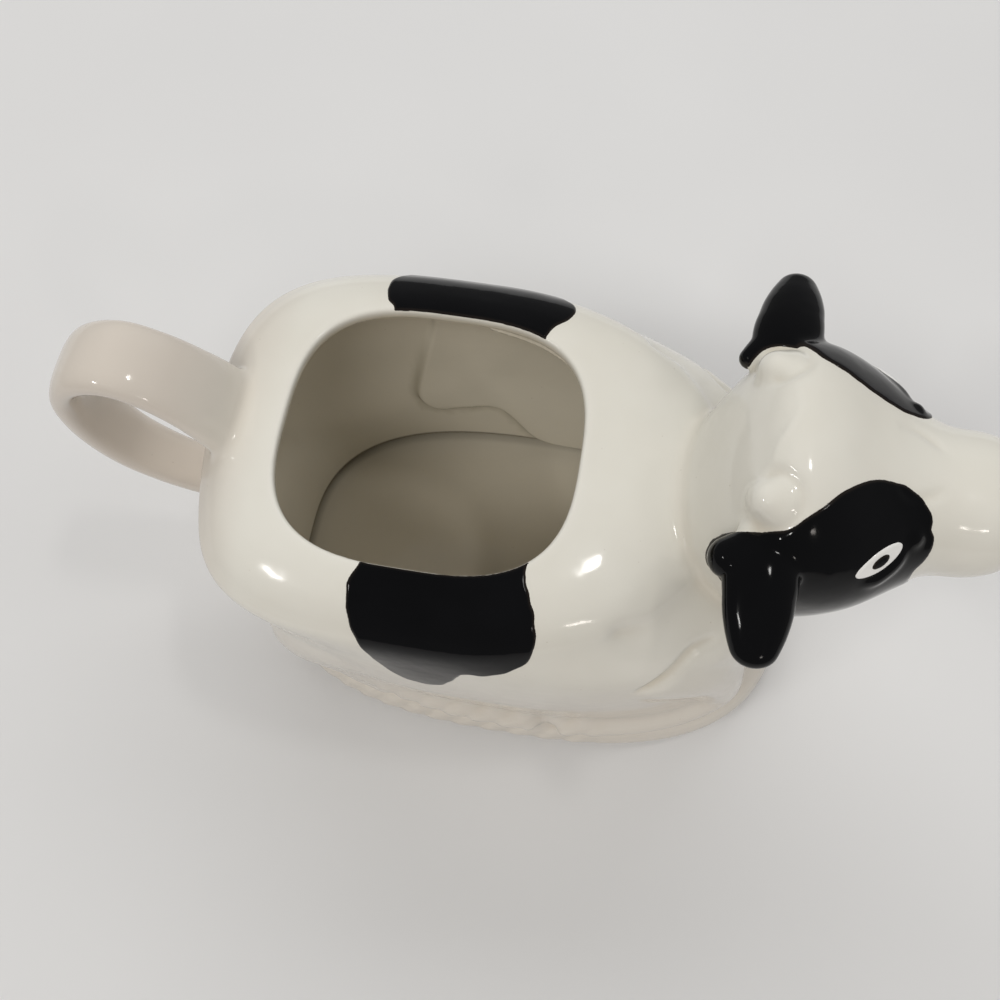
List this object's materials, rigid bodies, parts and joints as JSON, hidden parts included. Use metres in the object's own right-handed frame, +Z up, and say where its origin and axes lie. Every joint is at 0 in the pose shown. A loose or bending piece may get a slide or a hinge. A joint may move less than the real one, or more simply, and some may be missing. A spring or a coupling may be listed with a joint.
{
  "type": "cow creamer",
  "caption": "Glazed ceramic milk jug shaped as a lying cow: open back for filling, hollow head pouring at the mouth, strap handle at the rump.",
  "frame": {"origin": "centre of the foot ring on the table, which is the middle of the grass base", "axes": "+X from the handle to the muzzle, +Z up, +Y to the cow's own left"},
  "size_m": [0.1762, 0.0807, 0.0976],
  "materials": {
    "glaze_cream": "gloss",
    "glaze_black": "gloss",
    "eye_white": "gloss",
    "pupil_black": "gloss",
    "bare_foot": "matte"
  },
  "bodies": {
    "root": {"foot_ring": "bare_foot", "grass_base": "glaze_cream", "body_shell": "glaze_cream", "head_shell": "glaze_cream", "muzzle": "glaze_cream", "forelock": "glaze_cream", "horn_left": "glaze_cream", "horn_right": "glaze_cream", "ear_left": "glaze_black", "ear_right": "glaze_black", "handle": "glaze_cream", "tail": "glaze_cream", "fore_leg_left": "glaze_cream", "fore_leg_right": "glaze_cream", "hind_leg_left": "glaze_cream", "hind_leg_right": "glaze_cream", "flank_patch_left": "glaze_black", "flank_patch_right": "glaze_black", "face_patch_left": "glaze_black", "face_patch_right": "glaze_black", "eye_left": "eye_white", "eye_right": "eye_white", "pupil_left": "pupil_black", "pupil_right": "pupil_black"}
  },
  "joints": []
}
